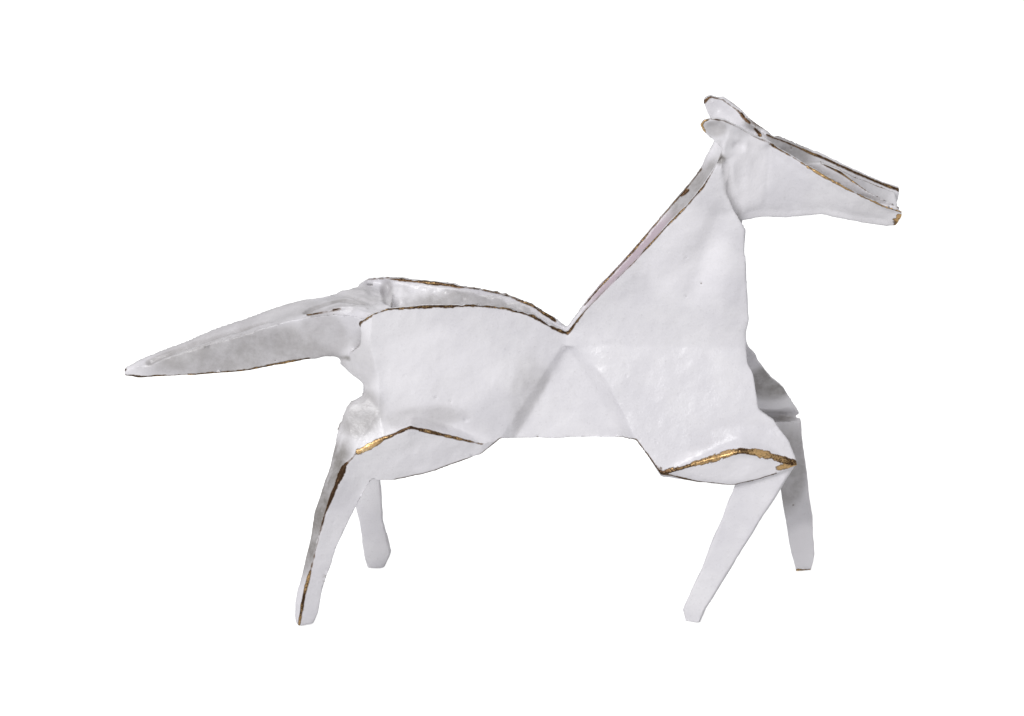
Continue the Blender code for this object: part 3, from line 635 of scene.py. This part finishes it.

# %% [markdown]
# ## Tints
#
# The grey patches are greyer, thinner enamel and painted shade together, most of all on the tail,
# down the back of the near hind leg, on the inner faces of the far legs, in the head's groove and on
# faces turned from the lamp. The pale patches are thicker enamel and painted light together, on
# faces turned down to the floor and on facets turned from the lamp. The gutter of the mane is a
# little pink. Each tint covers a soft patch, given by its middle, its three half widths in mm, which
# way the tinted faces look, how closely, and how strong it is.

# %% Grey, rosy and pale patches
ANY = (0, 0, 0)
# Greyer enamel and painted shade: many patches darken faces by which way they turn from the lamp, or
# parts in the body's shadow.
GREY_AND_SHADE = {
    "tail_side": ((-82, -6, 80), (40, 7, 13), (0, -1, 0), 0.5, 0.55),
    "tail_root_side": ((-55, -8, 87), (9, 7, 9), ANY, 0, 0.38),
    "tail_top": ((-80, 0, 86), (42, 9, 15), (0, 0, 1), 0.5, 0.36),
    "root_top": ((-47, 2, 96), (11, 12, 4), ANY, 0, 0.3),
    "trough": ((-12, 0, 94), (27, 8, 7), (0, 0, 1), 0.3, 0.55),
    "groove": ((83, 2, 141), (12, 6, 8), (0, -1, 0.6), 0.1, 0.6),
    "brow": ((71.4, 4.6, 148.4), (3.2, 4, 2.2), (0, -1, 0.6), 0.1, 0.65),
    "muzzle_inside": ((104, 1, 130), (13, 8, 7), (0, -0.2, 1), 0.4, 0.2),
    "near_ear": ((59.5, -12.6, 152.3), (3.6, 3, 3), ANY, 0, 0.42),
    "shank_back": ((-55, -19, 34), (11, 5, 38), (-1, -0.5, 0), 0.7, 0.88),
    "rear_strip": ((-44, -13, 80), (6, 8, 12), (-1, -0.4, 0), 0.5, 0.2),
    "far_shoulder": ((79, 11, 66), (9, 7, 8), (0, -1, 0), 0.1, 0.8),
    "far_foreleg": ((84, 17, 38), (8, 7, 19), (0, -1, 0), 0.1, 0.58),
    "hock": ((-45, -16, 66), (9, 7, 9), ANY, 0, 0.55),
    "thigh_band": ((-24, -16, 64), (18, 6, 4), (0, -0.5, 1), 0.3, 0.25),
    "mane_high": ((53, 0, 130), (12, 10, 16), (-1, 0, 0.7), 0.4, 0.68),
    "nose": ((108, -9, 125), (12, 6, 7), ANY, 0, 0.1),
    "belly_band": ((6, -6, 66), (8, 6, 16), (1, -1, 0), 0.8, 0.25),
}
ROSY = {
    "mane": ((36, -1, 109), (22, 10, 24), (-1, 0, 0.7), 0.4, 1.0),
}
# Thicker enamel and painted light: faces turned down to the floor, and the cheek and far foot that turn
# from the lamp, are lightened.
PALE_AND_LIT = {
    "cheek": ((69.5, -9, 136), (8, 7, 15), ANY, 0, 1.0),
    "knee_under": ((66, -18, 50), (20, 5, 6), (0, -1, -0.4), 0.5, 0.8),
    "thigh_under": ((-22, -15, 54), (22, 6, 9), (0, -1, -0.4), 0.5, 0.6),
    "far_foot": ((91, 18, 7), (8, 6, 11), ANY, 0, 1.0),
    "neck": ((50, -8, 112), (15, 6, 18), ANY, 0, 0.5),
    "flank": ((-20, -12, 78), (26, 7, 15), ANY, 0, 0.4),
}
PATCH_FADES = (0.65, 1.1)
TURN_FADE = 0.12


def tint(patches):
    """The strongest of the patches at each point. A patch fades over PATCH_FADES of its half
    widths, and where the faces turn away from its direction by less than `least`."""
    total = np.zeros(len(skin_points))
    for middle, half, facing, least, amount in patches.values():
        away = np.linalg.norm((skin_points - middle) / half, axis=1)
        strength = amount * (1 - step_up(away, *PATCH_FADES))
        if any(facing):
            turned = skin_normals @ (np.array(facing) / np.linalg.norm(facing))
            strength = strength * step_up(turned, least - TURN_FADE, least + TURN_FADE)
        total = np.maximum(total, strength)
    return total


# Painted shade along the slit, creases, gutters, groove and pits: width in mm and how dark.
SHADE_LINES = {
    "tail_slit": (0.8, 0.6),
    "root_pocket": (0.8, 0.45),
    "root_crease": (0.5, 0.65),
    "root_upper_crease": (0.5, 0.5),
    "neck_edge_gutter": (0.8, 0.3),
    "shank_groove": (0.5, 0.5),
    "trough_pinch": (0.9, 0.45),
    "cracked_pit": (0.7, 0.8),
}
REAR_SHADOW = (0.9, 0.8, [(-50, -7, 80), (-47.4, -9.6, 80.6)])
LINE_REACH = 2.5


def shade_along_line(width, amount, line, depth=0.0):
    """Painted shade of amount * exp(-(gap / width)^2) from the line, where a dent has left the line
    above it.
    """
    gaps = np.maximum(gap_to(skin_points, line, LINE_REACH * width + depth) - depth, 0)
    return amount * np.exp(-((gaps / width) ** 2))


grey_and_shade = tint(GREY_AND_SHADE)
for name, (width, amount) in SHADE_LINES.items():
    depth, _, line = RELIEF[name]
    grey_and_shade = np.maximum(grey_and_shade, shade_along_line(width, amount, line, abs(depth)))
grey_and_shade = np.maximum(grey_and_shade, shade_along_line(*REAR_SHADOW))
store("grey_and_shade", grey_and_shade)
store("rosy", tint(ROSY))
store("pale", tint(PALE_AND_LIT))
print(len(GREY_AND_SHADE) + len(ROSY) + len(PALE_AND_LIT), "tinted patches and", len(SHADE_LINES) + 1, "tinted lines")

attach(horse, "root")
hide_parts("horse_casting")

# %% [markdown]
# ## Enamel and brass
#
# One material does both. The worn mask compares the distance from the nearest worn line with the
# line's half width, and ragged noise moves the border. Two materials that meet along the edges of
# faces would be simpler, but real wear doesn't stop at the edge of a face.


# %% Node helpers
def nodes_of(material):
    """The node tree of a new node material, with its shader."""
    material.use_nodes = True
    return material.node_tree, material.node_tree.nodes["Principled BSDF"]


def add(tree, kind, inputs=None, **settings):
    """A node with its settings; inputs maps a socket to a value or to another node's socket."""
    node = tree.nodes.new(kind)
    for name, value in settings.items():
        setattr(node, name, value)
    for name, value in (inputs or {}).items():
        if isinstance(value, bpy.types.NodeSocket):
            tree.links.new(value, node.inputs[name])
        else:
            node.inputs[name].default_value = value
    return node


def maths(tree, operation, a, b=0.0, c=0.0):
    """One sum, with sockets or numbers."""
    return add(tree, "ShaderNodeMath", {0: a, 1: b, 2: c}, operation=operation).outputs[0]


def times(tree, *values):
    """The product of all the values."""
    total = values[0]
    for value in values[1:]:
        total = maths(tree, "MULTIPLY", total, value)
    return total


def ramp(tree, value, low, high, to_low=0.0, to_high=1.0):
    """The value taken smoothly from the range low..high to to_low..to_high."""
    node = add(tree, "ShaderNodeMapRange", {"Value": value, "From Min": low, "From Max": high,
                                            "To Min": to_low, "To Max": to_high},
               interpolation_type="SMOOTHSTEP")
    return node.outputs["Result"]


def mixed(tree, share, a, b):
    """Colour a where the share is 0 and b where it is 1."""
    node = add(tree, "ShaderNodeMix", {0: share}, data_type="RGBA")
    for socket, value in ((6, a), (7, b)):
        if isinstance(value, bpy.types.NodeSocket):
            tree.links.new(value, node.inputs[socket])
        else:
            node.inputs[socket].default_value = value
    return node.outputs[2]


def noise(tree, where, scale, detail=3.0, roughness=0.55):
    """Soft noise from 0 to 1."""
    node = add(tree, "ShaderNodeTexNoise", {"Vector": where, "Scale": scale, "Detail": detail,
                                            "Roughness": roughness})
    return node.outputs["Fac"]


def field(tree, name):
    """A value stored on the mesh."""
    return add(tree, "ShaderNodeAttribute", attribute_name=name).outputs["Fac"]


# %% Worn mask and brass
RAGGED = 1100
BROKEN = 230
STREAKED = 1700
BROWN = (0.075, 0.043, 0.024, 1)
GOLD = (0.72, 0.47, 0.22, 1)
BRIGHT = (0.95, 0.74, 0.44, 1)
enamel = bpy.data.materials.new("white_enamel")
tree, shader = nodes_of(enamel)
where = add(tree, "ShaderNodeTexCoord").outputs["Object"]

ragged = noise(tree, where, RAGGED, 4, 0.65)
broken = noise(tree, where, BROKEN, 3, 0.6)
half = times(tree, field(tree, "worn_half"), ramp(tree, broken, 0.36, 0.6, 0.6, 1.25))
border = times(tree, maths(tree, "SUBTRACT", ragged, 0.5), half, 1.1)
inside = maths(tree, "SUBTRACT", maths(tree, "ADD", half, border), field(tree, "worn_gap"))
bare = ramp(tree, inside, -0.04, 0.08)
rim = ramp(tree, inside, -0.28, 0.02)

streak = noise(tree, where, STREAKED, 4, 0.7)
tone = maths(tree, "MULTIPLY_ADD", maths(tree, "SUBTRACT", broken, 0.5), 1.2, field(tree, "worn_gold"))
tone = maths(tree, "MULTIPLY_ADD", maths(tree, "SUBTRACT", streak, 0.5), 1.8, tone)
core = ramp(tree, inside, 0.05, 0.45)
gold = times(tree, ramp(tree, tone, 0.1, 0.8), ramp(tree, core, 0, 1, 0.45, 1.0))
brass_colour = mixed(tree, gold, BROWN, GOLD)
brass_colour = mixed(tree, ramp(tree, tone, 0.95, 1.35), brass_colour, BRIGHT)
print("worn mask and brass:", len(tree.nodes), "nodes")

# %% Enamel: clouds, painted shade and grime, tints and specks
CLOUDS = 45
FINE_GRAIN = 1300
PATCHES = 160
SHADE_AND_GRIME_SCALE = 300
SPECKS = 230
RARE_ABOVE = 0.86
THIN_WHITE = (0.66, 0.645, 0.685, 1)
THICK_WHITE = (0.75, 0.735, 0.765, 1)
GRAIN = (0.45, 0.43, 0.45, 1)
PALEST = (0.86, 0.84, 0.88, 1)
ROSE = (0.47, 0.39, 0.44, 1)
GREYEST = (0.22, 0.205, 0.195, 1)
SHADE_AND_DIRT = (0.24, 0.215, 0.19, 1)
SPECK_BROWN = (0.2, 0.17, 0.15, 1)
RIM_BROWN = (0.15, 0.10, 0.07, 1)
cloud = noise(tree, where, CLOUDS, 4, 0.6)
fine = noise(tree, where, FINE_GRAIN, 3, 0.6)
white = mixed(tree, ramp(tree, cloud, 0.3, 0.7), THIN_WHITE, THICK_WHITE)
white = mixed(tree, ramp(tree, fine, 0.55, 0.8, 0, 0.3), white, GRAIN)
# Painted light and thicker enamel, from the pale patches.
white = mixed(tree, field(tree, "pale"), white, PALEST)
white = mixed(tree, field(tree, "rosy"), white, ROSE)
patchy = ramp(tree, noise(tree, where, PATCHES, 5, 0.7), 0.3, 0.7, 0.7, 1.2)
# Painted shade and greyer enamel, from the grey patches.
white = mixed(tree, times(tree, field(tree, "grey_and_shade"), patchy), white, GREYEST)
# Painted shade and grime: the enamel darkens where the point is closed in.
deep = ramp(tree, field(tree, "open_share"), 0.05, 0.75, 0.8, 0.0)
shade_and_dirt = times(tree, deep, ramp(tree, noise(tree, where, SHADE_AND_GRIME_SCALE, 5, 0.7), 0.3, 0.7, 0.5, 1.0))
white = mixed(tree, shade_and_dirt, white, SHADE_AND_DIRT)
speck = add(tree, "ShaderNodeTexVoronoi", {"Vector": where, "Scale": SPECKS, "Randomness": 1.0})
dot = ramp(tree, speck.outputs["Distance"], 0.05, 0.09, 1, 0)
lot = add(tree, "ShaderNodeSeparateColor", {0: speck.outputs["Color"]}).outputs[0]
rare = maths(tree, "GREATER_THAN", lot, RARE_ABOVE)
white = mixed(tree, times(tree, dot, rare, 0.75), white, SPECK_BROWN)
white = mixed(tree, times(tree, rim, 0.8), white, RIM_BROWN)
colour = mixed(tree, bare, white, brass_colour)
print("with the enamel:", len(tree.nodes), "nodes")

# %% Gloss and fine relief
SKIN_GRAIN = 380
BUMP_STRENGTH = 0.55
BUMP_HEIGHT = 0.4 * MM
ENAMEL_ROUGHNESS = 0.3
BRASS_ROUGHNESS = 0.33
peel = maths(tree, "MULTIPLY_ADD", noise(tree, where, SKIN_GRAIN, 3), 0.75, times(tree, fine, 0.35))
pits = times(tree, ramp(tree, speck.outputs["Distance"], 0.06, 0.22, 1, 0), rare, -0.5)
height = maths(tree, "ADD", maths(tree, "MULTIPLY_ADD", bare, -0.5, peel), pits)
height = maths(tree, "MULTIPLY_ADD", times(tree, bare, streak), 0.5, height)
bump = add(tree, "ShaderNodeBump",
           {"Height": height, "Strength": BUMP_STRENGTH, "Distance": BUMP_HEIGHT})
tree.links.new(colour, shader.inputs["Base Color"])
tree.links.new(bare, shader.inputs["Metallic"])
roughness = ramp(tree, bare, 0, 1, ENAMEL_ROUGHNESS, BRASS_ROUGHNESS)
tree.links.new(roughness, shader.inputs["Roughness"])
tree.links.new(bump.outputs["Normal"], shader.inputs["Normal"])
shader.inputs["Specular IOR Level"].default_value = 0.5
skin.materials.clear()
skin.materials.append(enamel)
print("in all:", len(tree.nodes), "nodes in", enamel.name)

# %% [markdown]
# ## The studio
#
# The photograph has a pure white ground and a broad light from the front, a little to the left and
# above. The floor shines a little to the camera alone, so that it turns white without lighting the
# horse from below.

# %% Floor, light and camera
FLOOR_HALF = 3
FLOOR_GREY = (0.68, 0.68, 0.68, 1)
FLOOR_SHINE = 0.7
SKY_STRENGTH = 0.6
KEY_PLACE = (-0.7, -1.15, 1.05)
KEY_TARGET = (0, 0, 0.07)
KEY_SIZE = 0.8
KEY_WATTS = 16.3
AIM = Vector((0.0006, -0.0008, 0.0775))
CAMERA_RISE = np.radians(20)
CAMERA_AWAY = 1.2
LENS = 141.75
SENSOR = 36

scene = bpy.context.scene
floor_mesh = bpy.data.meshes.new("floor")
corners = [(x * FLOOR_HALF, y * FLOOR_HALF, 0) for x, y in ((-1, -1), (1, -1), (1, 1), (-1, 1))]
floor_mesh.from_pydata(corners, [], [(0, 1, 2, 3)])
floor = bpy.data.objects.new("floor", floor_mesh)
scene.collection.objects.link(floor)
pale = bpy.data.materials.new("pale_floor")
floor_tree, floor_shader = nodes_of(pale)
floor_shader.inputs["Base Color"].default_value = FLOOR_GREY
floor_shader.inputs["Roughness"].default_value = 0.9
floor_shader.inputs["Specular IOR Level"].default_value = 0.0
floor_shader.inputs["Emission Color"].default_value = (1, 1, 1, 1)
seen = add(floor_tree, "ShaderNodeLightPath").outputs["Is Camera Ray"]
shine = maths(floor_tree, "MULTIPLY", seen, FLOOR_SHINE)
floor_tree.links.new(shine, floor_shader.inputs["Emission Strength"])
floor_mesh.materials.append(pale)

world = bpy.data.worlds.new("studio")
world.use_nodes = True
world.node_tree.nodes["Background"].inputs["Color"].default_value = (1, 1, 1, 1)
world.node_tree.nodes["Background"].inputs["Strength"].default_value = SKY_STRENGTH
scene.world = world


def lamp(name, place, target, size, watts):
    """A square soft light at `place` that faces `target`."""
    data = bpy.data.lights.new(name, "AREA")
    data.size = size
    data.energy = watts
    obj = bpy.data.objects.new(name, data)
    obj.location = place
    obj.rotation_euler = (Vector(target) - Vector(place)).to_track_quat("-Z", "Y").to_euler()
    scene.collection.objects.link(obj)


lamp("key", KEY_PLACE, KEY_TARGET, KEY_SIZE, KEY_WATTS)

camera_data = bpy.data.cameras.new("camera")
camera_data.lens = LENS
camera_data.sensor_width = SENSOR
camera_data.clip_start = 0.01
camera = bpy.data.objects.new("camera", camera_data)
back = Vector((0, -np.cos(CAMERA_RISE), np.sin(CAMERA_RISE)))
camera.location = AIM + back * CAMERA_AWAY
camera.rotation_euler = (-back).to_track_quat("-Z", "Y").to_euler()
scene.collection.objects.link(camera)
scene.camera = camera
scene.view_settings.view_transform = "Standard"
print("camera at, m:", [round(v, 3) for v in camera.location])
